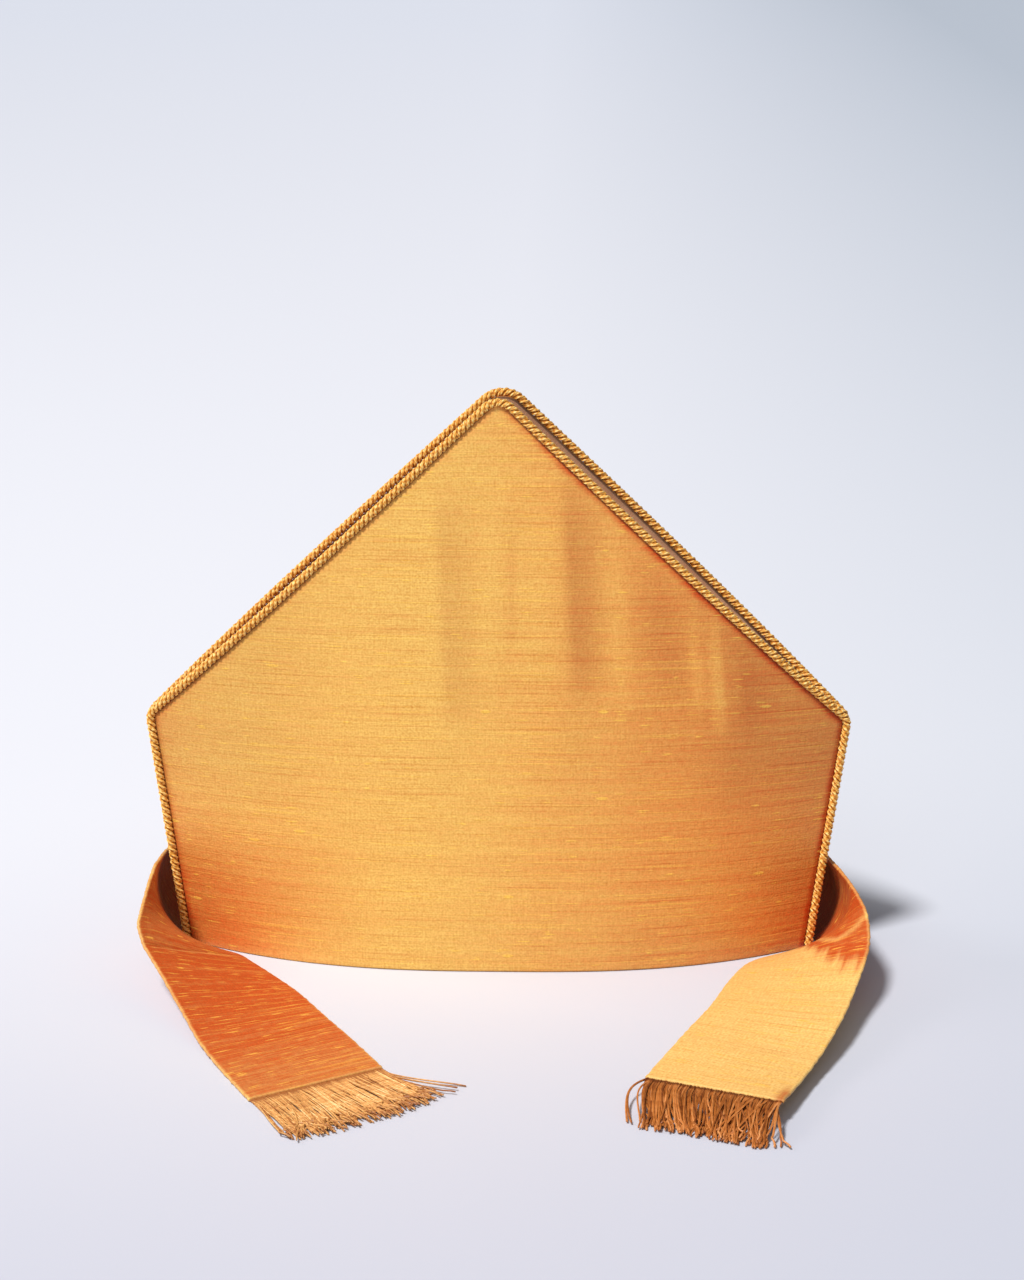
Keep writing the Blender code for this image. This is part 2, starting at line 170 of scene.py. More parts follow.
def ease(value, start, end):
    """A smooth step from 0 at the start to 1 at the end, which may be the lower of the two."""
    t = np.clip((value - start) / (end - start), 0.0, 1.0)
    return t * t * (3 - 2 * t)


# ---------------------------------------------------------------------------- camera and light

def stand(name, data, right, up, back, spot):
    """An object at a spot, turned so that its own axes are the ways right, up and back."""
    thing = bpy.data.objects.new(name, data)
    bpy.context.scene.collection.objects.link(thing)
    axes = np.eye(4)
    axes[:, :3] = (right, up, back, spot)
    thing.matrix_world = axes.tolist()
    return thing


def set_camera():
    """A 70 mm lens on a 24 mm wide frame, looking down at the mitre by some 16 degrees: the ways
    ahead, right and up are worked out from its turns in radians."""
    yaw, pitch, roll = 0.0160, 0.2825, 0.0033
    ahead = np.array((
        -math.sin(yaw) * math.cos(pitch), math.cos(yaw) * math.cos(pitch), -math.sin(pitch)))
    level = np.array((math.cos(yaw), math.sin(yaw), 0.0))
    right = level * math.cos(roll) + np.cross(level, ahead) * math.sin(roll)
    up = np.cross(right, ahead)
    lens = bpy.data.cameras.new("camera")
    lens.lens = 70.0
    lens.sensor_fit = "HORIZONTAL"
    lens.sensor_width = 24.0
    lens.clip_start = 0.05
    lens.clip_end = 60.0
    spot = np.array((0.026758, -1.28803, 0.51959)) + SET_DOWN
    bpy.context.scene.camera = stand("camera", lens, right, up, -ahead, spot)


def aimed_lamp(name, kind, spot, aim, size, power, colour):
    """A lamp at a spot, turned to face its aim, with one side level: a square one with its side,
    or a far one with the angle that it fills."""
    data = bpy.data.lights.new(name, kind)
    if kind == "SUN":
        data.angle = size
    else:
        data.shape = "SQUARE"
        data.size = size
    data.energy = power
    data.color = shade_of(colour)[:3]
    back = unit(np.array(spot) - np.array(aim))
    side = unit(np.cross((0.0, 0.0, 1.0), back))
    stand(name, data, side, np.cross(back, side), back, spot)


# ---------------------------------------------------------------------------- materials

def shade_of(hex_code):
    """An sRGB hex colour as linear light, with full cover."""
    parts = np.array([int(hex_code[i:i + 2], 16) / 255 for i in (0, 2, 4)])
    light = np.where(parts <= 0.04045, parts / 12.92, ((parts + 0.055) / 1.055) ** 2.4)
    return (*light.tolist(), 1.0)


def node(tree, kind, inputs=None, output=0, **settings):
    """Add a shader node with its settings, give each input a value or a link, and return one of
    its outputs."""
    made = tree.nodes.new("ShaderNode" + kind)
    for name, value in settings.items():
        setattr(made, name, value)
    for socket, value in (inputs or {}).items():
        if isinstance(value, bpy.types.NodeSocket):
            tree.links.new(value, made.inputs[socket])
        else:
            made.inputs[socket].default_value = value
    return made.outputs[output]


def new_finish(name, **values):
    """A material with its shader's plain values set, as its tree and its shader."""
    material = bpy.data.materials.new(name)
    material.use_nodes = True
    tree = material.node_tree
    shader = tree.nodes["Principled BSDF"]
    for socket, value in values.items():
        shader.inputs[socket.replace("_", " ")].default_value = value
    return material, tree, shader


def drawn_out(tree, place, across, along, detail=0.0, seed=0.0, roughness=0.6):
    """Noise drawn out into threads: so many cells per metre across and along the cloth."""
    spread = node(tree, "Mapping", {"Vector": place, "Scale": (across, along, 1.0),
                                    "Location": (seed, seed * 1.7, 0.0)})
    return node(tree, "TexNoise", {"Vector": spread, "Scale": 1.0, "Detail": detail,
                                   "Roughness": roughness}, noise_dimensions="2D")


def added_up(tree, start, layers):
    """The start plus each layer: as a pattern goes from low to high, it adds least to most."""
    for pattern, low, high, least, most in layers:
        share = node(tree, "MapRange", {0: pattern, 1: low, 2: high, 3: least, 4: most})
        start = node(tree, "Math", {0: start, 1: share})
    return start


def laid_over(tree, colour, layers):
    """A colour with each layer's colour laid over it in turn, as thickly as its share says."""
    for share, cover in layers:
        colour = node(tree, "Mix", {0: share, 6: colour, 7: shade_of(cover)}, 2, data_type="RGBA")
    return colour


def shot_silk(name, weft, warp, slub, slub_from, knot_from):
    """Dupion silk, woven gold across orange-red: fine uneven threads both ways, thin light and
    dark lines where a weft thread thickens or sinks, a few bright short slubs, a low satin gloss,
    and an orange warp that shows through where the 'turn' attribute is high, a painted sheen in
    place of the shot silk's change of colour as the light falls on it. Painted shade, dark
    red-brown, is laid over it where its painted shade attribute is high."""
    material, tree, shader = new_finish(
        name, Roughness=0.50, Specular_IOR_Level=0.30, Sheen_Weight=0.08, Sheen_Roughness=0.4,
        Sheen_Tint=shade_of("FFC87A"), IOR=1.5)
    place = node(tree, "UVMap", uv_map="cloth")
    # Threads are some 0.3 mm apart: drawn 0.6 to 0.7 mm apart so that they show.
    weft_rows = drawn_out(tree, place, 70.0, 1500.0, seed=3.1)
    warp_rows = drawn_out(tree, place, 1500.0, 160.0, seed=5.3)
    grain = drawn_out(tree, place, 960.0, 1100.0, seed=7.7)
    patches = drawn_out(tree, place, 260.0, 520.0, 1.0, 71.0)
    streaks = drawn_out(tree, place, 6.0, 230.0, 2.0, 29.0)
    # Odd threads are the crests of such noise: each row has its cells per metre across and
    # along, its seed, and the level and breadth of its crests.
    dark_lines, light_lines, short_slubs, knots = [
        node(tree, "MapRange", {0: drawn_out(tree, place, across, along, seed=seed),
                                1: crest, 2: crest + breadth})
        for across, along, seed, crest, breadth in (
            (17.0, 1150.0, 17.0, 0.68, 0.14),
            (17.0, 1150.0, 41.0, 0.68, 0.14),
            (95.0, 1250.0, 11.3, slub_from, 0.08),
            (95.0, 330.0, 57.0, knot_from, 0.045))]
    slubs = node(tree, "Math", {0: short_slubs, 1: knots}, operation="MAXIMUM")
    pale_lines = node(tree, "Math", {0: light_lines, 1: 0.45}, operation="MULTIPLY")
    bright = node(tree, "Math", {0: slubs, 1: pale_lines}, operation="MAXIMUM")
    gleam = node(tree, "Math", {0: bright, 1: 0.70}, operation="MULTIPLY")

    # Painted sheen: 'turn' says how much orange warp is painted in, for the shot silk's colour as
    # the light falls on it.
    turn = node(tree, "Attribute", output="Fac", attribute_name="turn")
    show = added_up(tree, turn, (
        (weft_rows, 0.2, 0.8, -0.09, 0.09),
        (grain, 0.2, 0.8, -0.05, 0.05),
        (patches, 0.25, 0.75, -0.06, 0.06),
        (streaks, 0.3, 0.7, -0.07, 0.07),
        (dark_lines, 0.0, 1.0, 0.0, 0.12)))
    colour = laid_over(tree, shade_of(weft), ((show, warp), (gleam, slub)))
    level = added_up(tree, 0.0, (
        (weft_rows, 0.2, 0.8, -0.5, 0.5),
        (warp_rows, 0.2, 0.8, -0.3, 0.3),
        (grain, 0.2, 0.8, -0.7, 0.7),
        (dark_lines, 0.0, 1.0, 0.0, -0.55)))
    # A thread that sinks into shade turns warmer as it darkens.
    warm = node(tree, "VectorMath", {0: level, 1: (0.11, 0.21, 0.30), 2: (1.0, 1.0, 1.0)},
                operation="MULTIPLY_ADD")
    colour = node(tree, "VectorMath", {0: colour, 1: warm}, operation="MULTIPLY")
    # Painted shade: a dark red-brown laid over the silk where the shade attribute is high.
    dim = node(tree, "Attribute", output="Fac", attribute_name="dim")
    tree.links.new(laid_over(tree, colour, ((dim, "5A1B12"),)), shader.inputs["Base Color"])

    height = added_up(tree, 0.0, (
        (weft_rows, 0.0, 1.0, 0.0, 0.6),
        (grain, 0.0, 1.0, 0.0, 0.9),
        (warp_rows, 0.0, 1.0, 0.0, 0.35),
        (bright, 0.0, 1.0, 0.0, 1.0)))
    bump = node(tree, "Bump", {"Height": height, "Strength": 0.30, "Distance": 0.0004})
    tree.links.new(bump, shader.inputs["Normal"])
    return material


def plain_lining(name, thread, shadow):
    """Plain woven cotton lining: matt, with a fine even weave and faint clouding, and darkened by
    painted shade where its painted shade attribute is high."""
    material, tree, shader = new_finish(
        name, Roughness=0.85, Specular_IOR_Level=0.25, Sheen_Weight=0.1, IOR=1.5)
    place = node(tree, "UVMap", uv_map="cloth")
    # Threads are some 0.35 mm apart: drawn 0.8 mm apart so that they show.
    weave = drawn_out(tree, place, 1250.0, 1250.0, 1.0, roughness=0.5)
    cloud = drawn_out(tree, place, 40.0, 70.0, 2.0, roughness=0.5)
    mixed = node(tree, "Math", {0: weave, 1: cloud}, operation="MULTIPLY")
    share = node(tree, "MapRange", {0: mixed, 1: 0.12, 2: 0.45})
    # Painted shade: a dark brown laid over the lining where the shade attribute is high.
    dim = node(tree, "Attribute", output="Fac", attribute_name="dim")
    colour = laid_over(tree, shade_of(shadow), ((share, thread), (dim, "3A1E14")))
    tree.links.new(colour, shader.inputs["Base Color"])
    bump = node(tree, "Bump", {"Height": weave, "Strength": 0.4, "Distance": 0.0003})
    tree.links.new(bump, shader.inputs["Normal"])
    return material


def spun_thread(name, bright, middle, dark, yarns, lay, twist):
    """Lustrous spun rayon: fine yarns wind round each strand, with a painted highlight on their
    crowns and painted shade between, and the 'tone' attribute makes one strand darker than
    another, and one side darker with painted shade."""
    material, tree, shader = new_finish(
        name, Roughness=0.42, Specular_IOR_Level=0.35, Sheen_Weight=0.10, IOR=1.5,
        Sheen_Tint=shade_of("FFC87A"))
    place = node(tree, "UVMap", uv_map="cloth")
    winding = (2 * math.pi * yarns, 2 * math.pi / lay, 0.0)
    angle = node(tree, "VectorMath", {0: place, 1: winding}, "Value", operation="DOT_PRODUCT")
    wave = node(tree, "Math", {0: angle}, operation="SINE")
    crown = node(tree, "MapRange", {0: wave, 1: -1.0, 2: 1.0})
    fleck = drawn_out(tree, place, 3.0, 260.0, 2.0, roughness=0.5)
    tone = node(tree, "Attribute", output="Fac", attribute_name="tone")
    # Painted highlight and shade: lighter on each yarn's crown, darker between.
    lit = added_up(tree, tone, (
        (fleck, 0.3, 0.7, -0.18, 0.18),
        (crown, 0.0, 1.0, 0.0, twist)))
    low = node(tree, "MapRange", {0: lit, 1: 0.15, 2: 0.75})
    high = node(tree, "MapRange", {0: lit, 1: 0.75, 2: 1.35})
    colour = laid_over(tree, shade_of(dark), ((low, middle), (high, bright)))
    tree.links.new(colour, shader.inputs["Base Color"])
    bump = node(tree, "Bump", {"Height": crown, "Strength": twist, "Distance": 0.0002})
    tree.links.new(bump, shader.inputs["Normal"])
    return material


# The floor's colour changes along these ways, in metres, from where a shade starts to where it is
# full: towards its front, far behind, and to its right. The steps are painted shade and light for
# the lamps' falloff.
FLOOR_TABLE = ("way", "start", "full", "step", "shade")
FLOOR_SHADES = (
    ((-0.3, 1.0, 0.0), 0.35, -0.33, "SMOOTHSTEP", "C8CBDA"),
    ((0.0, 1.0, 0.0), 0.8, 5.5, "LINEAR", "DCE2F0"),
    ((1.0, 0.0, 0.0), -0.02, 0.85, "LINEAR", "B8C2D1"),
)


def pale_floor():
    """Smooth board, nearly white, with painted shade: a little greyer towards its front and to its
    right and bluer far behind, as the light falls off: three soft steps over the board's own place."""
    material, tree, shader = new_finish("pale_board_with_painted_shade", Roughness=0.6, Specular_IOR_Level=0.15)
    place = node(tree, "TexCoord", output="Object")
    colour = shade_of("E3E6F0")
    for row in rows_of(FLOOR_TABLE, FLOOR_SHADES):
        run = node(tree, "VectorMath", {0: place, 1: row["way"]}, "Value",
                   operation="DOT_PRODUCT")
        share = node(tree, "MapRange", {0: run, 1: row["start"], 2: row["full"]},
                     interpolation_type=row["step"])
        colour = laid_over(tree, colour, ((share, row["shade"]),))
    tree.links.new(colour, shader.inputs["Base Color"])
    return material


# ---------------------------------------------------------------------------- mesh helpers

def run_along(points, axis):
    """How far each point lies along its line, by adding up the steps from the line's start."""
    steps = np.diff(points, axis=axis, prepend=np.take(points, [0], axis=axis))
    return np.cumsum(np.linalg.norm(steps, axis=-1), axis=axis)


def grid_faces(rows, columns):
    """The quads of a grid, as numbers into its points."""
    numbers = np.arange(rows * columns).reshape(rows, columns)
    return np.stack(
        (numbers[:-1, :-1], numbers[:-1, 1:], numbers[1:, 1:], numbers[1:, :-1]), -1
    ).reshape(-1, 4)


def add_piece(name, points, faces, places, paint, materials, kinds=None, sharp=40.0):
    """Make a closed mesh from points and quads, with doubled points merged and faces outwards.

    places holds each point's position on its cloth in metres, and paint its named attributes.
    """
    mesh = bpy.data.meshes.new(name)
    mesh.vertices.add(len(points))
    mesh.vertices.foreach_set("co", (points + SET_DOWN).astype(np.float32).ravel())
    mesh.loops.add(faces.size)
    mesh.loops.foreach_set("vertex_index", faces.astype(np.int32).ravel())
    mesh.polygons.add(len(faces))
    mesh.polygons.foreach_set("loop_start", np.arange(0, faces.size, 4, dtype=np.int32))
    if kinds is not None:
        mesh.polygons.foreach_set("material_index", kinds.astype(np.int32))
    mesh.update(calc_edges=True)
    cloth = mesh.uv_layers.new(name="cloth")
    cloth.data.foreach_set("uv", places[faces.ravel()].astype(np.float32).ravel())
    for title, values in paint.items():
        layer = mesh.attributes.new(title, "FLOAT", "POINT")
        layer.data.foreach_set("value", values.astype(np.float32).ravel())
    body = bmesh.new()
    body.from_mesh(mesh)
    bmesh.ops.remove_doubles(body, verts=body.verts, dist=1e-6)
    bmesh.ops.recalc_face_normals(body, faces=body.faces)
    body.to_mesh(mesh)
    body.free()
    mesh.shade_smooth()
    mesh.set_sharp_from_angle(angle=math.radians(sharp))
    for material in materials:
        mesh.materials.append(material)
    piece = bpy.data.objects.new(name, mesh)
    bpy.context.scene.collection.objects.link(piece)
    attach(piece, "root")
    return piece


def add_wall(name, front, back, places, paint, materials):
    """Make a closed piece from its front and back grids, joined round their rims. The front and
    the rims take the first material, and the back takes the last."""
    rows, columns = front.shape[:2]
    count = rows * columns
    numbers = np.arange(count).reshape(rows, columns)
    quads = grid_faces(rows, columns)
    rim = np.concatenate(
        (numbers[0, :-1], numbers[:-1, -1], numbers[-1, :0:-1], numbers[:0:-1, 0]))
    after = np.roll(rim, -1)
    sides = np.stack((rim, after, after + count, rim + count), -1)[:, ::-1]
    faces = np.concatenate((quads, (quads + count)[:, ::-1], sides))
    kinds = np.concatenate(
        (np.zeros(len(quads)), np.full(len(quads), len(materials) - 1), np.zeros(len(sides))))
    points = np.concatenate((front.reshape(-1, 3), back.reshape(-1, 3)))
    places = np.tile(places.reshape(-1, 2), (2, 1))
    paint = {title: np.tile(values.ravel(), 2) for title, values in paint.items()}
    return add_piece(name, points, faces, places, paint, materials, kinds)


def strand_skin(paths, radii, facets, outward=(0.0, 0.0, 1.0)):
    """Round strands: a circle of the given radius carried along each path, whose first spoke
    points outward. Gives a grid of points and each one's place on its strand, as a share of the
    way round and a distance along.

    paths is strands x steps x 3, radii is strands x steps, and each circle has facets + 1 points.
    """
    ahead = unit(np.gradient(paths, axis=1))
    side = unit(np.cross(ahead, outward))
    spoke = np.cross(side, ahead)
    turn = np.linspace(0.0, 2 * math.pi, facets + 1)
    ring = (spoke[:, :, None] * np.cos(turn)[:, None] + side[:, :, None] * np.sin(turn)[:, None])
    skin = paths[:, :, None] + ring * radii[:, :, None, None]
    length = run_along(paths, 1)
    around = np.broadcast_to(turn / (2 * math.pi), skin.shape[:3])
    along = np.broadcast_to(length[:, :, None], skin.shape[:3])
    return skin, np.stack((around, along), -1)


def add_strands(name, skin, places, tones_and_painted_shade, material):
    """Make one piece from the skins of strands whose radius ends in nothing."""
    strands, steps, columns = skin.shape[:3]
    starts = np.arange(strands)[:, None, None] * steps * columns
    faces = (grid_faces(steps, columns) + starts).reshape(-1, 4)
    return add_piece(name, skin.reshape(-1, 3), faces, places.reshape(-1, 2),
                     {"tone": tones_and_painted_shade.ravel()}, [material], sharp=70.0)


# ---------------------------------------------------------------------------- the panels

def fan(first, last, steps):
    """Unit vectors turning evenly from the first to the last."""
    angles = np.linspace(
        math.atan2(first[1], first[0]), math.atan2(last[1], last[0]), steps + 1)
    return np.stack((np.cos(angles), np.sin(angles)), -1)


def outline_ways(facing):
    """A panel's base, shoulder and peak on its right, and the outward normals of its right side
    and right slope. The front's (facing -1) peak is a little lower."""
    base = np.array((BASE_HALF_WIDTH, 0.0))
    shoulder = np.array((SHOULDER_HALF_WIDTH, SHOULDER_HEIGHT))
    peak = np.array((0.0, PEAK_HEIGHT - FRONT_PEAK_DROP * (1 - facing) / 2))
    side_way, slope_way = unit(shoulder - base), unit(peak - shoulder)
    return (base, shoulder, peak, np.array((side_way[1], -side_way[0])),
            np.array((slope_way[1], -slope_way[0])))


def half_outline(side_marks, shoulder_steps, slope_steps, peak_steps, facing):
    """The right half of a panel's edge, from base to peak, and its outward normals: two straight
    lines with an arc at the shoulder and half an arc at the peak, which is smaller on the front
    (facing -1). side_marks are heights."""
    base, shoulder, peak, side_normal, slope_normal = outline_ways(facing)
    radius = PEAK_RADIUS if facing > 0 else FRONT_PEAK_RADIUS
    inward = (side_normal + slope_normal) / (1 + side_normal @ slope_normal)
    shoulder_arc = (shoulder - inward * SHOULDER_RADIUS
                    + fan(side_normal, slope_normal, shoulder_steps) * SHOULDER_RADIUS)
    peak_arc = (peak - np.array((0.0, radius / slope_normal[1]))
                + fan(slope_normal, (0.0, 1.0), peak_steps) * radius)
    low = side_marks[side_marks < shoulder_arc[0, 1] - 1e-4][:, None] / SHOULDER_HEIGHT
    side = base + (shoulder - base) * low
    share = np.linspace(0.0, 1.0, slope_steps + 1)[1:-1, None]
    slope = shoulder_arc[-1] + (peak_arc[0] - shoulder_arc[-1]) * share
    points = np.vstack((side, shoulder_arc, slope, peak_arc))
    normals = np.vstack((
        np.tile(side_normal, (len(side), 1)), fan(side_normal, slope_normal, shoulder_steps),
        np.tile(slope_normal, (len(slope), 1)), fan(slope_normal, (0.0, 1.0), peak_steps)))
    return points, normals


def bow_depth(z):
    """How far a panel stands out at its middle, at a height."""
    return BOW_AT_BASE + (BOW_AT_PEAK - BOW_AT_BASE) * z / PEAK_HEIGHT


def seam_half_width(z):
    """The half width over which a panel bows, at a height."""
    return BASE_HALF_WIDTH + (SHOULDER_HALF_WIDTH - BASE_HALF_WIDTH) * np.minimum(
        z / SHOULDER_HEIGHT, 1.0)


def panel_face(x, z, side):
    """How far a panel's middle (side 0), outer (1) or inner (-1) face stands from the seams."""
    share = np.abs(x) / seam_half_width(z)
    slope = bow_depth(z) * BOW_POWER / seam_half_width(z) * share ** (BOW_POWER - 1)
    middle = SEAM_OFFSET + bow_depth(z) * (1 - share**BOW_POWER)
    return middle + side * PANEL_THICKNESS / 2 * np.sqrt(1 + slope**2)


def lean(z, facing):
    """How far the rear panel's (facing 1) peak leans to the right, at a height."""
    above = np.maximum(z - SHOULDER_HEIGHT, 0.0) / (PEAK_HEIGHT - SHOULDER_HEIGHT)
    return REAR_PEAK_LEAN * above * (1 + facing) / 2


def edge_distance(x, z, facing):
    """The distance in from a panel's side or slope, whichever is nearer."""
    base, _, peak, side_normal, slope_normal = outline_ways(facing)
    to_side = (base[0] - np.abs(x)) * side_normal[0] + (base[1] - z) * side_normal[1]
    to_slope = (peak[0] - np.abs(x)) * slope_normal[0] + (peak[1] - z) * slope_normal[1]
    return np.minimum(to_side, to_slope)


# Soft upright ripples in the silk of the front's upper half, in millimetres: where each band's
# middle is at its bottom and at its top, how softly it ends to the left and to the right, the
# heights between which it shows, and how dark it is painted (or how light, where that is
# negative): painted shade and sheen over the ripples' real rise.
BAND_TABLE = ("low_x", "high_x", "left", "right", "bottom", "top", "shade")
BANDS = (
    (-28.0, -34.0, 7.0, 4.0, 122.0, 230.0, -0.35),
    (-20.0, -25.0, 4.0, 12.0, 118.0, 230.0, 0.55),
    (-4.0, -2.0, 5.0, 4.0, 140.0, 228.0, -0.45),
    (6.0, 6.0, 1.6, 2.4, 150.0, 222.0, 0.38),
    (19.0, 17.0, 9.0, 8.0, 126.0, 225.0, -0.60),
    (36.0, 30.0, 3.5, 11.0, 132.0, 236.0, 0.95),
    (55.0, 50.0, 6.0, 5.0, 126.0, 210.0, -0.55),
    (78.0, 66.0, 11.0, 8.0, 130.0, 200.0, 0.60),
    (90.0, 86.0, 3.0, 3.0, 122.0, 166.0, -1.00),
    (100.0, 95.0, 3.5, 2.2, 116.0, 166.0, -1.90),
    (112.0, 108.0, 3.0, 12.0, 112.0, 160.0, 0.62),
)
RIPPLE_SLOPE = 0.07


def ripples(x, z):
    """The ripples' painted shade and rise: each band is a bell that is softer on one side, let in
    and out smoothly upwards, and the cloth falls away to the right where a band is painted dark."""
    band = columns_of(BAND_TABLE, BANDS)
    place, height = x[..., None] / MM, z[..., None] / MM
    climb = np.clip((height - band["bottom"]) / (band["top"] - band["bottom"]), 0, 1)
    away = place - band["low_x"] - (band["high_x"] - band["low_x"]) * climb
    bell = np.exp(-(away / np.where(away < 0, band["left"], band["right"])) ** 2)
    bell = bell * band["shade"] * ease(height, band["top"] + 10, band["top"] - 45)
    shade = (bell * ease(height, band["bottom"] - 14, band["bottom"] + 14)).sum(axis=-1)
    slope = (bell * ease(height, band["bottom"] - 75, band["bottom"] + 30)).sum(axis=-1)
    rise = np.cumsum(slope * np.gradient(x, axis=1), axis=1) * -RIPPLE_SLOPE
    span = (x - x[:, :1]) / (x[:, -1:] - x[:, :1])
    return rise - rise[:, -1:] * span, shade


# How much of the orange warp shows across the front at mid height, by the distance from its
# middle in millimetres: a painted sheen for the shot silk's change of colour with the light.
WARP_TABLE = ("x", "share")
WARP_SHOWN = (
    (-152.0, 0.26), (-139.0, 0.15), (-112.0, 0.06), (-90.0, 0.09), (-60.0, 0.04), (-36.0, 0.01),
    (-15.0, 0.07), (6.0, 0.16), (20.0, 0.25), (48.0, 0.32), (66.0, 0.43), (105.0, 0.53),
    (128.0, 0.52), (152.0, 0.52))

# Where more of the warp shows as painted sheen (turn) or painted shade darkens the silk, by how
# much: on which side, and the distance from the middle and the height, in millimetres, at which
# it starts and is full.
TINT_TABLE = ("paint", "amount", "side", "start_x", "full_x", "start_z", "full_z")
TINTS = (
    ("turn", 0.46, "left", 75.0, 125.0, 90.0, 0.0),
    ("turn", 0.15, "left", 45.0, 85.0, 80.0, 30.0),
    ("turn", 0.08, "right", 85.0, 125.0, 70.0, 15.0),
    ("dim", 0.14, "right", 75.0, 110.0, 55.0, 100.0),
    ("dim", 0.12, "left", 60.0, 120.0, 55.0, 100.0),
    ("dim", 0.07, "both", 110.0, 60.0, 40.0, 0.0),
    ("dim", 0.07, "right", 95.0, 130.0, 70.0, 30.0),
    ("dim", 0.03, "right", 10.0, 40.0, 70.0, 110.0),
)


def panel_paint(x, z, inside, shade):
    """Where a panel shows its warp, a painted sheen, and where painted shade darkens it, as the
    tables say, with a red line of painted sheen at its edges, seen less on the left, and a dark
    line of painted shade right under the cord and at the base."""
    warp = columns_of(WARP_TABLE, WARP_SHOWN)
    # The ripples' bands add painted sheen and painted shade.
    paint = {"turn": np.interp(x / MM, warp["x"], warp["share"]) + 0.16 * shade,
             "dim": 0.15 * np.clip(shade, -0.5, 1.0)}
    sides = {"left": -x, "right": x, "both": np.abs(x)}
    for tint in rows_of(TINT_TABLE, TINTS):
        across = ease(sides[tint["side"]], tint["start_x"] * MM, tint["full_x"] * MM)
        upwards = ease(z, tint["start_z"] * MM, tint["full_z"] * MM)
        paint[tint["paint"]] += tint["amount"] * across * upwards
    # Painted sheen: an uneven red line along the edges, where the silk rolls in to the cord.
    uneven = 0.75 + 0.25 * np.sin(z * 310 + 2.0 * np.sin(z * 97))
    seen = 0.4 + 0.6 * ease(x, -0.02, 0.02)
    turn = paint["turn"] + 0.56 * ease(inside, 0.0044, 0.0006) * uneven * seen
    # Painted shade: darker right under the cord and along the base.
    dim = paint["dim"] + 0.22 * ease(inside, 0.0034, 0.0) + 0.55 * ease(inside, 0.0011, 0.0)
    dim += 0.35 * ease(z, 0.0012, 0.0)
    return {"turn": np.clip(turn, 0, 1), "dim": np.clip(dim, 0, 0.8)}


PANEL_COLUMNS = 150
PANEL_EDGE_TUCK = 0.0005
PANEL_EDGE_DROP = 0.0007
PANEL_EDGE_ROLL = 0.0035
SLOW_SWELL = 0.00012


def panel(name, facing, node_name, silk, lining):
    """A bowed pentagon: rows at the heights of its outline, columns that crowd to its edges. Its
    outer face carries ripples and sinks to the cord, under which its edge is tucked a little way,
    and its base rolls over in a half circle."""
    roll = PANEL_THICKNESS / 2
    bend = roll * (1 - np.cos(np.linspace(0.0, math.pi / 2, 6)))
    marks = np.concatenate((bend, np.linspace(roll, SHOULDER_HEIGHT, 56)[1:]))
    edge, normals = half_outline(
        marks, shoulder_steps=8, slope_steps=92, peak_steps=8, facing=facing)
    edge = edge + normals * PANEL_EDGE_TUCK * ease(edge[:, 1:], 0.0, 0.002)
    shares = np.sin(np.linspace(-1.0, 1.0, PANEL_COLUMNS + 1) * math.pi / 2)
    x = edge[:, 0, None] * shares
    z = np.repeat(edge[:, 1, None], len(shares), axis=1)
    inside = np.maximum(edge_distance(x, z, facing) + PANEL_EDGE_TUCK, 0.0)
    round_base = np.sqrt(np.clip(1 - (1 - np.minimum(z / roll, 1.0)) ** 2, 0.0, 1.0))
    rise, shade = ripples(x, z)
    drop = PANEL_EDGE_DROP * ease(inside, PANEL_EDGE_ROLL, 0.0) ** 2
    swell = SLOW_SWELL * np.sin(x * 61 + 1.3) * np.sin(z * 47 + facing)
    relief = rise * ease(inside, 0.0, 0.02) + swell - drop
    outer = panel_face(x, z, round_base) + relief * round_base
    inner = panel_face(x, z, -round_base)
    front = np.stack((x + lean(z, facing), facing * outer, z), -1)
    back = np.stack((x + lean(z, facing), facing * inner, z), -1)
    arc = np.cumsum(np.hypot(np.diff(x, axis=1, prepend=x[:, :1]),
                             np.diff(outer, axis=1, prepend=outer[:, :1])), axis=1)
    arc = arc - arc[:, len(shares) // 2, None]
    places = np.stack((arc + facing * 0.4, z), -1)
    paint = panel_paint(x * -facing, z, inside, shade)
    piece = add_wall(name, front, back, places, paint, [silk, lining])
    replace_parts(piece, node_name)


# ---------------------------------------------------------------------------- the cords

CORD_FULL_RADIUS = 0.00205
CORD_OUT = 0.0002
CORD_PLIES = 3
CORD_LAY = 0.0084
PLY_OFFSET = 0.00096
YARNS_IN_PLY = 3
YARN_LAY = 0.0170
YARN_RADIUS = 0.00057
YARN_OFFSET = 0.00052
CORD_STEPS = 2180
CORD_FACETS = 5
CORD_TONE = 0.16
CORD_PAINTED_PROUD_LIGHT = 0.72
CORD_TONE_FLECK = 0.40


def wound(core, side_a, side_b, radius, angle):
    """A path that winds round a core: the core plus a turning spoke, and the spoke itself."""
    spoke = side_a * np.cos(angle)[..., None] + side_b * np.sin(angle)[..., None]
    return core + spoke * radius, spoke


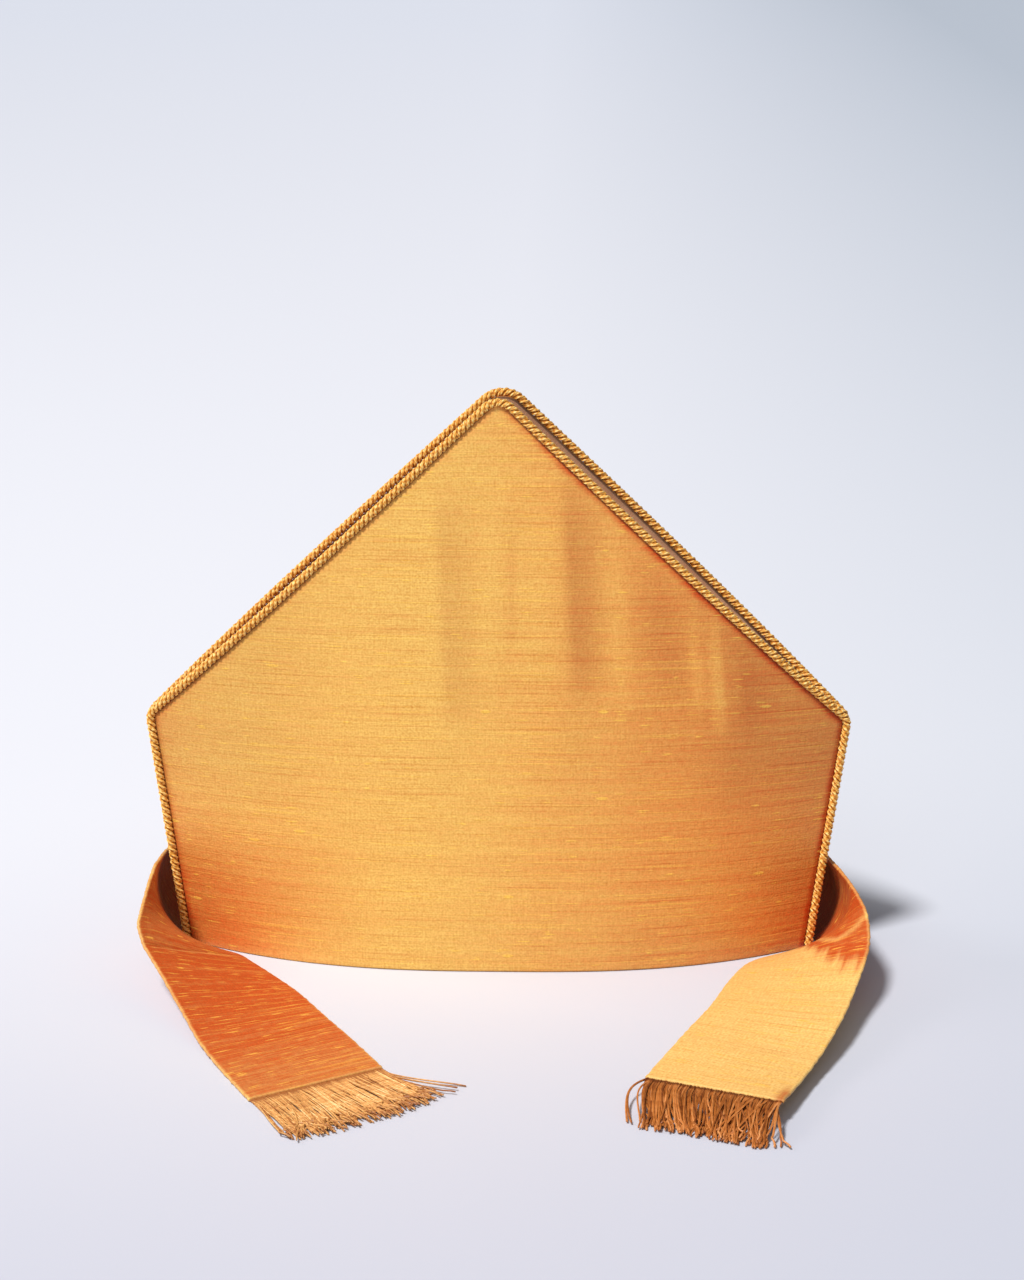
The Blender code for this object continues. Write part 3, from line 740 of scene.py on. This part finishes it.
def cord(name, facing, node_name, material):
    """Three plies laid left-handed, each of three yarns twisted the same way: a ply's middle winds
    round the cord's path once a lay, a yarn's middle winds round the ply's, and a circle is
    carried along it. A yarn is painted brighter where it stands proud and darker where it dips
    between: painted light and shade."""
    marks = np.linspace(0.0, SHOULDER_HEIGHT, 60)
    edge, normals = half_outline(
        marks, shoulder_steps=12, slope_steps=100, peak_steps=16, facing=facing)
    path = edge + normals * (CORD_RADIUS + GAP + CORD_OUT)
    middle = np.maximum(panel_face(edge[:, 0], edge[:, 1], 0) + CORD_FORWARD,
                        CORD_FULL_RADIUS + GAP / 2)
    path[0, 1] = CORD_END_HEIGHT
    right = np.stack((path[:, 0], facing * middle, path[:, 1]), -1)
    left = right[-2::-1] * (-1, 1, 1)
    points = np.vstack((right, left))
    points[:, 0] += lean(points[:, 2], facing)
    length = run_along(points, 0)
    reach = np.linspace(0.0, length[-1], CORD_STEPS)
    core = np.stack([np.interp(reach, length, points[:, k]) for k in range(3)], -1)
    ahead = unit(np.gradient(core, axis=0))
    first = unit(np.cross((0.0, 1.0, 0.0), ahead))
    second = np.cross(ahead, first)
    strand = np.arange(CORD_PLIES * YARNS_IN_PLY)[:, None]
    ply, yarn = strand // YARNS_IN_PLY, strand % YARNS_IN_PLY
    angle = 2 * math.pi * (ply / CORD_PLIES - reach / CORD_LAY)
    ply_path, away = wound(core, first, second, PLY_OFFSET, angle)
    beside = np.cross(ahead, away)
    turn = 2 * math.pi * (yarn / YARNS_IN_PLY - reach / YARN_LAY) + ply * 1.3
    paths, spoke = wound(ply_path, away, beside, YARN_OFFSET, turn)
    radii = np.full(paths.shape[:2], YARN_RADIUS)
    radii[:, (0, -1)] = 0.0
    skin, places = strand_skin(paths, radii, CORD_FACETS, spoke)
    # Painted light and shade: a yarn is lighter the farther it stands from the cord's middle.
    proud = np.linalg.norm(skin - core[None, :, None], axis=-1) / CORD_FULL_RADIUS
    fleck = np.sin(reach * 5100 + strand * 2.4) * (0.7 + 0.3 * np.sin(reach * 1130 + strand * 5.1))
    tones_and_painted_shade = (CORD_TONE + CORD_PAINTED_PROUD_LIGHT * ease(proud, 0.60, 1.0)
             + CORD_TONE_FLECK * fleck[..., None])
    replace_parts(add_strands(name, skin, places, tones_and_painted_shade, material), node_name)


# ---------------------------------------------------------------------------- the gusset

def gusset(name, node_name, lining):
    """A web that hangs in a fold: across, it runs from one panel to the other as a power of the
    swing, and it rises from the fold to the panels' edges. Small creases run down it."""
    sides = np.array((0.0, 0.05))
    edge = half_outline(sides, shoulder_steps=6, slope_steps=60, peak_steps=8, facing=1)[0]
    edge = edge[len(sides) + 6:]
    spread = np.linspace(-1.0, 1.0, 141)
    x = GUSSET_HALF_WIDTH * np.sign(spread) * np.abs(spread) ** GUSSET_SPREAD_POWER
    top = np.interp(np.abs(x), edge[::-1, 0], edge[::-1, 1]) - GUSSET_TOP_INSET
    fold = GUSSET_FOLD_HEIGHT - GUSSET_FOLD_SAG * (1 - (x / GUSSET_HALF_WIDTH) ** 2)
    reach = panel_face(x, top, -1) - GAP - GUSSET_THICKNESS / 2
    swing = np.linspace(-1.0, 1.0, 61)
    swing = (np.sign(swing) * np.abs(swing) ** GUSSET_SWING_POWER)[:, None]
    y = reach * np.sign(swing) * np.abs(swing) ** GUSSET_WIDTH_POWER
    z = fold + (top - fold) * np.abs(swing) ** GUSSET_HEIGHT_POWER
    middle = np.stack((x + lean(z, swing), y, z), -1)
    normals = unit(np.cross(np.gradient(middle, axis=0), np.gradient(middle, axis=1)))
    crease = GUSSET_CREASE * np.sin(x * 210 + 3 * np.sin(x * 37)) * (1 - swing**2)
    middle = middle + normals * crease[..., None]
    normals = normals * GUSSET_THICKNESS / 2
    down = run_along(middle, 0)
    places = np.stack((np.broadcast_to(x, down.shape), down), -1)
    # Painted shadow: the web darkens just under its top on the rear side, where the rear cord
    # shades it.
    below = (top - middle[..., 2]) / MM
    paint = {"dim": 0.55 * ease(below, 0.9, 0.2) * ease(swing, 0.0, 0.2)}
    piece = add_wall(name, middle + normals, middle - normals, places, paint, [lining])
    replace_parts(piece, node_name)


# ---------------------------------------------------------------------------- the lappets

def smoothed(rows, marks, crease=None):
    """Points on a smooth curve through the rows, at fractional row numbers: a cubic between each
    two rows, with slopes taken over the distance between the rows' middles, and a different
    slope on each side of a crease."""
    middles = rows.reshape(len(rows), -1, 3).mean(axis=1)
    spans = np.linalg.norm(np.diff(middles, axis=0), axis=1)
    slopes = np.gradient(rows, np.concatenate(([0.0], np.cumsum(spans))), axis=0)
    before, after = slopes.copy(), slopes.copy()
    if crease is not None:
        before[crease] = (rows[crease] - rows[crease - 1]) / spans[crease - 1]
        after[crease] = (rows[crease + 1] - rows[crease]) / spans[crease]
    i = np.minimum(marks.astype(int), len(rows) - 2)
    shape = (-1,) + (1,) * (rows.ndim - 1)
    t, span = (marks - i).reshape(shape), spans[i].reshape(shape)
    return (rows[i] * (2 * t**3 - 3 * t**2 + 1) + rows[i + 1] * (3 * t**2 - 2 * t**3)
            + after[i] * span * (t**3 - 2 * t**2 + t) + before[i + 1] * span * (t**3 - t**2))


LAPPET_ROWS = 300
LAPPET_ROUGH = 0.00016
LAPPET_FINE_ROUGH = 0.00010
LAPPET_WAVE = 0.00010
LAPPET_SHARES = np.concatenate((
    (0.0, 0.002, 0.006, 0.013, 0.025), np.linspace(0.045, 0.955, 39),
    (0.975, 0.987, 0.994, 0.998, 1.0)))


def lappet_rows(table, marks, share, crease=None):
    """A lappet's grid of middle points, at fractional rows of its table and shares across it."""
    column = columns_of(LAPPET_TABLE, table + LAPPET_BEHIND)
    inner = np.stack([column["inner_" + axis] for axis in "xyz"], -1) * MM
    outer = np.stack([column["outer_" + axis] for axis in "xyz"], -1) * MM
    across = outer - inner
    out = unit(np.cross(np.gradient((inner + outer) / 2, axis=0), across))
    arch = (4 * share * (1 - share))[None, :, None]
    rows = inner[:, None] + across[:, None] * share[None, :, None]
    rows = rows + out[:, None] * column["bulge"][:, None, None] * MM * arch
    x = LAPPET_ROOT_INNER + (LAPPET_ROOT_OUTER - LAPPET_ROOT_INNER) * share
    tab = []
    for height, standoff in LAPPET_TAB:
        z = np.full_like(x, height)
        y = panel_face(x, z, 1) + GAP + LAPPET_THICKNESS / 2 + standoff
        tab.append(np.stack((x, y, z), -1))
    return smoothed(np.concatenate((rows, tab)), marks, crease)


def lappet(name, hand, table, crease, node_name, silk, painter):
    """A strip through its table's rows, with both faces drawn in to meet along its edges in a
    half circle, and its edges and faces a little uneven."""
    last = len(table) + len(LAPPET_BEHIND) + len(LAPPET_TAB) - 1
    marks = np.concatenate((
        (0.0, 0.003, 0.009, 0.02, 0.04), np.linspace(0.08, last - 0.08, LAPPET_ROWS),
        (last - 0.04, last - 0.01, last)))
    share = LAPPET_SHARES
    middle = lappet_rows(table, marks, share, crease)
    rough = LAPPET_ROUGH * np.sin(marks * 29 + 2 * np.sin(marks * 11.3))
    rough = rough + LAPPET_FINE_ROUGH * np.sin(marks * 61 + hand)
    cross = unit(middle[:, -1] - middle[:, 0]) * rough[:, None]
    middle = middle + cross[:, None] * (2 * share[:, None] - 1) ** 5
    normals = unit(np.cross(np.gradient(middle, axis=0), np.gradient(middle, axis=1)))
    width = np.linalg.norm(middle[:, -1] - middle[:, 0], axis=1)[:, None]
    reach = run_along(middle, 0)
    half = LAPPET_THICKNESS / 2
    to_edge = np.minimum(share, 1 - share) * width
    to_end = np.minimum(reach, reach[-1] - reach)
    near = np.minimum(np.minimum(to_edge, to_end) / half, 1.0)
    plump = normals * np.sqrt(np.clip(1 - (1 - near) ** 2, 0.0, 1.0))[..., None]
    wave = LAPPET_WAVE * np.sin(reach * 190 + 7 * share) * np.sin(share * 9 + reach * 31)
    drift = plump * wave[..., None]
    front, back = middle + plump * half + drift, middle - plump * half + drift * 0.3
    front[..., 2] = np.maximum(front[..., 2], LAPPET_CLEARANCE)
    back[..., 2] = np.maximum(back[..., 2], LAPPET_CLEARANCE)
    flip = np.array((hand, 1, 1))
    shares = np.broadcast_to(share, reach.shape)
    places = np.stack((shares * width.mean() + 0.9 * (hand + 2), reach), -1)
    paint = painter(marks[:, None], shares, reach)
    piece = add_wall(name, front * flip, back * flip, places, paint, [silk])
    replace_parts(piece, node_name)


def left_paint(row, share, reach):
    """Orange-red all over, a painted sheen of the shot silk, deeper past the crease where painted
    shade lies, nearly dark with painted shadow in the hollow behind the cord, and a painted
    highlight as a light line along each edge and along the crease."""
    turn = 0.98 - 0.18 * ease(row, 2.6, 0.3) - 0.12 * ease(row, 5.0, 5.4)
    # Painted highlight: gold lines along each edge, across the crease and at the hem end.
    edge = np.minimum(share, 1 - share)
    turn = turn - 0.60 * ease(edge, 0.020, 0.004)
    turn = turn - 0.40 * np.exp(-((row - 4.98) / 0.035) ** 2) * ease(edge, 0.0, 0.1)
    turn = turn - 0.30 * ease(reach, 0.0016, 0.0004)
    # Painted shade just past the crease.
    dim = 0.25 * np.exp(-((row - 5.14) / 0.07) ** 2) * ease(share, 1.0, 0.9)
    # Painted shadow: nearly dark in the hollow behind the cord and on the strip's inner part where
    # it stands beside the panel, paler behind the mitre.
    hollow_shadow = ease(row, 9.55, 10.25) * ease(share, 1.0, 0.93)
    near = ease(row, 6.7, 7.4) * ease(share, 0.56, 0.40)
    dim = dim + 0.40 * np.maximum(hollow_shadow, near) * (1 - ease(row, 12.0, 14.0) * 0.6)
    return {"turn": np.clip(turn, 0, 1), "dim": np.clip(dim, 0, 0.9)}


# Row by row of its table, where the right lappet's gold turns to orange-red and where a gold
# streak crosses the red, both painted sheen, and where the painted shadow in the hollow behind
# the cord grows dark, all by share of the width.
RIGHT_SHARES = (0.00, 0.07, 0.23, 0.38, 0.54, 0.70, 0.85, 1.00)
RIGHT_RED_FROM = (5.20, 5.10, 4.95, 4.65, 4.10, 3.70, 3.50, 3.45)
RIGHT_STREAK = (6.20, 6.00, 5.65, 5.28, 4.75, 4.40, 4.62, 4.85)
RIGHT_SHADOW_FROM = (7.40, 7.60, 7.80, 8.35, 8.85, 9.35, 9.90, 10.40)


def right_paint(row, share, reach):
    """Gold where it lies towards the front, orange-red in a fan where it turns the corner, with a
    gold streak across it, all a painted sheen of the shot silk, and painted shadow, dark, in the
    hollow behind the cord."""
    red = np.interp(share, RIGHT_SHARES, RIGHT_RED_FROM)
    streak = np.interp(share, RIGHT_SHARES, RIGHT_STREAK)
    dark = np.interp(share, RIGHT_SHARES, RIGHT_SHADOW_FROM)
    ragged = 0.10 * np.sin(share * 47) + 0.07 * np.sin(share * 113 + 1)
    turn = 0.02 + 0.96 * ease(row - red + ragged, -0.22, 0.30)
    turn = turn - 0.55 * np.exp(-((row - streak) / 0.13) ** 2) * ease(share, 0.2, 0.4)
    edge = np.minimum(share, 1 - share)
    turn = turn - 0.45 * ease(edge, 0.022, 0.004)
    corner = ease(share, 0.90, 0.985) * ease(reach, 0.019, 0.004)
    turn = turn + 0.75 * corner
    # Painted shadow: dark in the hollow behind the cord, paler behind the mitre.
    dim = 0.78 * ease(row - dark, -0.45, 0.35) * (1 - ease(row, 12.0, 14.0) * 0.6)
    dim = dim + 0.22 * corner
    return {"turn": np.clip(turn, 0, 1), "dim": np.clip(dim, 0, 0.9)}


# ---------------------------------------------------------------------------- the fringes

# Single threads that lie apart from the rest, in millimetres: swerve is how far a thread's
# middle stands off to the outer side of its straight line.
STRAY_TABLE = ("place", "tip_x", "tip_y", "lift", "swerve")
LEFT_STRAYS = (
    (0.01, 10.0, -159.5, 3.0, 3.0),
    (0.03, 11.8, -168.3, 3.0, 3.5),
    (0.05, 13.0, -163.5, 3.4, 2.5),
    (0.97, 77.5, -213.0, 3.2, 2.0),
    (0.82, 74.0, -213.6, 3.8, -3.0),
    (0.92, 73.0, -211.0, 4.2, -4.0),
)
RIGHT_STRAYS = (
    (0.985, 118.6, -216.5, 5.0, -1.5),
    (0.97, 116.0, -214.0, 5.0, 1.0),
    (0.02, 55.9, -192.6, 5.0, -5.0),
    (0.03, 58.0, -194.0, 4.0, -6.5),
    (0.06, 61.0, -192.0, 5.0, -4.0),
)

# The threads of each fringe: how many there are, their radius, how far they sway, how far their
# tips scatter as a share of the fringe, the radius of their curls, their tone, its spread and
# what it gains at the tip, and the share of those near the outer end that cross over the rest.
THREAD_TABLE = (
    "count", "radius", "sway", "scatter", "curl", "tone", "spread", "tip_tone", "crossing")
LEFT_THREADS = (260, 0.00036, 0.0006, 0.034, 0.0014, 0.60, 0.20, -0.30, 0.20)
RIGHT_THREADS = (190, 0.00043, 0.0006, 0.050, 0.0012, 0.56, 0.20, 0.10, 0.35)
THREAD_STEPS = 28
THREAD_FACETS = 5
THREAD_CLEARANCE = 0.0001
THREAD_ROOT_DEPTH = 0.0012


def fringe(name, hand, table, ends, strays, threads, node_name, material):
    """Loose threads from a lappet's hem: each is a cubic curve from its root, which it leaves
    straight on, to its tip, with a slow sway and a small curl in its last fifth. The threads draw
    together in places, differ a little in length, and have painted shadow, darker where they
    leave the hem."""
    look = dict(zip(THREAD_TABLE, threads))
    count, radius = look["count"], look["radius"]
    inner, outer = lappet_rows(table, np.array((0.0, 0.1)), np.array((0.0, 1.0)))[0]
    across = unit(outer - inner)
    width = np.linalg.norm(outer - inner)
    ahead = unit(np.cross(across, (0.0, 0.0, 1.0)))
    end, stray = columns_of(FRINGE_TABLE, ends), columns_of(STRAY_TABLE, strays)
    place = (np.arange(count) + chance.uniform(0.1, 0.9, count)) / count * 0.98 + 0.01
    gather = place + 0.022 * np.sin(place * 37 + 1.0) + 0.014 * np.sin(place * 83)
    gather = gather + chance.normal(0, look["scatter"], count)
    crosses = chance.uniform(0, 1, count) < look["crossing"] * ease(place, 0.55, 0.85)
    gather = gather - crosses * chance.uniform(0.10, 0.30, count)
    tip = np.stack((
        np.interp(gather, end["place"], end["tip_x"]),
        np.interp(gather, end["place"], end["tip_y"]), np.zeros(count)), -1) * MM
    lift = np.interp(place, end["place"], end["lift"]) * chance.uniform(0.20, 1.05, count)
    place = np.concatenate((place, stray["place"]))
    lift = np.concatenate((lift, stray["lift"])) * MM
    stray_tip = np.stack((stray["tip_x"], stray["tip_y"], np.zeros(len(strays))), -1) * MM
    swerve = np.concatenate((chance.normal(0, 0.7, count), stray["swerve"]))[:, None] * MM
    root = inner + across * (width * place)[:, None] - ahead * THREAD_ROOT_DEPTH
    long = chance.uniform(0.84, 1.03, count)
    tip = root[:count] + (tip - root[:count]) * long[:, None]
    tip = np.concatenate((tip, stray_tip))
    total = len(place)
    root[:, 2] += chance.uniform(-0.7, -0.1, total) * MM
    root[:, 2] = np.maximum(root[:, 2], radius + THREAD_CLEARANCE)
    tip[:, 2] = radius + chance.uniform(0.0, 1.3, total) * MM
    span = np.linalg.norm(tip - root, axis=1)[:, None]
    near = root + ahead * span * 0.34 + across * swerve * 0.9
    far = tip + (root - tip) * 0.36 + across * swerve * 1.2
    near[:, 2] = root[:, 2] * 0.75 + lift * 0.5
    far[:, 2] = lift * 0.8
    share = np.concatenate(((0.0, 0.004), np.linspace(0.04, 0.996, THREAD_STEPS - 3), (1.0,)))
    t = share[:, None]
    path = (root[:, None] * (1 - t) ** 3 + near[:, None] * 3 * t * (1 - t) ** 2
            + far[:, None] * 3 * t**2 * (1 - t) + tip[:, None] * t**3)
    phase = chance.uniform(0, 2 * math.pi, (total, 1))
    pace = chance.uniform(0.6, 1.5, (total, 1))
    swing = look["sway"] * share * np.sin(phase + 2 * math.pi * pace * share)
    hook = chance.uniform(0.0, 1.0, (total, 1)) ** 1.5 * look["curl"]
    wind = ease(share, 0.78, 1.0) * chance.uniform(2.0, 5.5, (total, 1))
    wind = wind * np.where(chance.uniform(0, 1, (total, 1)) < 0.5, -1, 1)
    path = path + across * (swing + hook * np.sin(wind))[..., None]
    path = path - ahead * (hook * (1 - np.cos(wind)))[..., None]
    path[..., 2] += hook * 0.7 * np.abs(np.sin(wind * 0.6))
    path[..., 2] = np.maximum(path[..., 2], radius + THREAD_CLEARANCE)
    radii = np.full(path.shape[:2], radius) * chance.uniform(0.8, 1.15, (total, 1))
    radii[:, (0, -1)] = 0.0
    tones_and_painted_shade = chance.normal(look["tone"], look["spread"], (total, 1))
    # Painted shadow: darker where a thread leaves the hem, under its edge.
    tones_and_painted_shade = tones_and_painted_shade - ease(share, 0.13, 0.02) + look["tip_tone"] * ease(share, 0.78, 0.95)
    skin, places = strand_skin(path * np.array((hand, 1, 1)), radii, THREAD_FACETS)
    tones_and_painted_shade = np.broadcast_to(tones_and_painted_shade[..., None], skin.shape[:3])
    piece = add_strands(name, skin, places, tones_and_painted_shade, material)
    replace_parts(piece, node_name)
    return piece


# ---------------------------------------------------------------------------- setting out

FLOOR_REACH = 40.0


def lay_floor():
    """A wide flat board under the mitre that fills the camera's view."""
    mesh = bpy.data.meshes.new("floor")
    corners = ((-1, -1, 0), (1, -1, 0), (1, 1, 0), (-1, 1, 0))
    mesh.from_pydata(np.array(corners) * FLOOR_REACH, [], [(0, 1, 2, 3)])
    mesh.materials.append(pale_floor())
    floor = bpy.data.objects.new("floor", mesh)
    bpy.context.scene.collection.objects.link(floor)


# The studio's lamps: where each is, what it is aimed at, its side in metres or its angle in
# radians, and its power in watts or watts per square metre.
LAMP_TABLE = ("name", "kind", "spot", "aim", "size", "power", "colour")
LAMPS = (
    ("key", "SUN", (-0.89, -1.05, 2.45), (0.0, 0.0, 0.05), 0.18, 3.25, "FFFCF8"),
    ("front", "AREA", (-0.40, -2.20, 1.60), (0.0, 0.0, 0.10), 1.2, 10.0, "FFFAF4"),
    ("left", "AREA", (-2.20, 0.40, 1.60), (0.0, 0.2, 0.0), 0.8, 9.0, "FFFCF8"),
)


def light_studio():
    """A pale room with one strong soft lamp high in front and a little to the left, a broad one
    beside the camera and one on the left."""
    world = bpy.data.worlds.new("studio")
    bpy.context.scene.world = world
    world.use_nodes = True
    sky = world.node_tree.nodes["Background"]
    sky.inputs["Color"].default_value = shade_of("FAFBFF")
    sky.inputs["Strength"].default_value = 0.20
    for lamp in rows_of(LAMP_TABLE, LAMPS):
        aimed_lamp(**lamp)


def main():
    """Set out the stage and make every piece with its cloth."""
    set_camera()
    bpy.context.scene.view_settings.view_transform = "Standard"
    lay_floor()
    light_studio()
    gold_silk = shot_silk("woven_shot_silk_gold", "F2BF62", "D9561E", "FFCC55", 0.79, 0.885)
    lappet_silk = shot_silk("woven_shot_silk_red", "EABE70", "C04E1C", "F8BC50", 0.745, 0.86)
    back_lining = plain_lining("woven_cotton_lining", "B98C68", "8A6248")
    web = plain_lining("woven_cotton_web", "FBC9A0", "E6AC82")
    cord_thread = spun_thread("spun_rayon_cord", "FFE08E", "EDA740", "A65C1C", 2.0, 0.0026, 0.40)
    pale_thread = spun_thread("spun_rayon_pale", "FFE3A6", "E2A862", "A0602F", 1.0, 0.0030, 0.20)
    brown_thread = spun_thread(
        "spun_rayon_brown", "EAA466", "BC7032", "6C2E08", 1.0, 0.0034, 0.08)

    panel("front_silk", -1, "front_panel", gold_silk, back_lining)
    panel("rear_silk", 1, "rear_panel", gold_silk, back_lining)
    cord("front_twisted_cord", -1, "front_cord", cord_thread)
    cord("rear_twisted_cord", 1, "rear_cord", cord_thread)
    gusset("gusset_web", "gusset", web)
    left_fringe = fringe("left_fringe_threads", -1, LEFT_LAPPET, LEFT_FRINGE, LEFT_STRAYS,
                         LEFT_THREADS, "fringe_left", pale_thread)
    right_fringe = fringe("right_fringe_threads", 1, RIGHT_LAPPET, RIGHT_FRINGE, RIGHT_STRAYS,
                          RIGHT_THREADS, "fringe_right", brown_thread)
    lappet("left_lappet_silk", -1, LEFT_LAPPET, LEFT_CREASE_ROW, "lappet_left", lappet_silk,
           left_paint)
    lappet("right_lappet_silk", 1, RIGHT_LAPPET, None, "lappet_right", lappet_silk,
           right_paint)


main()
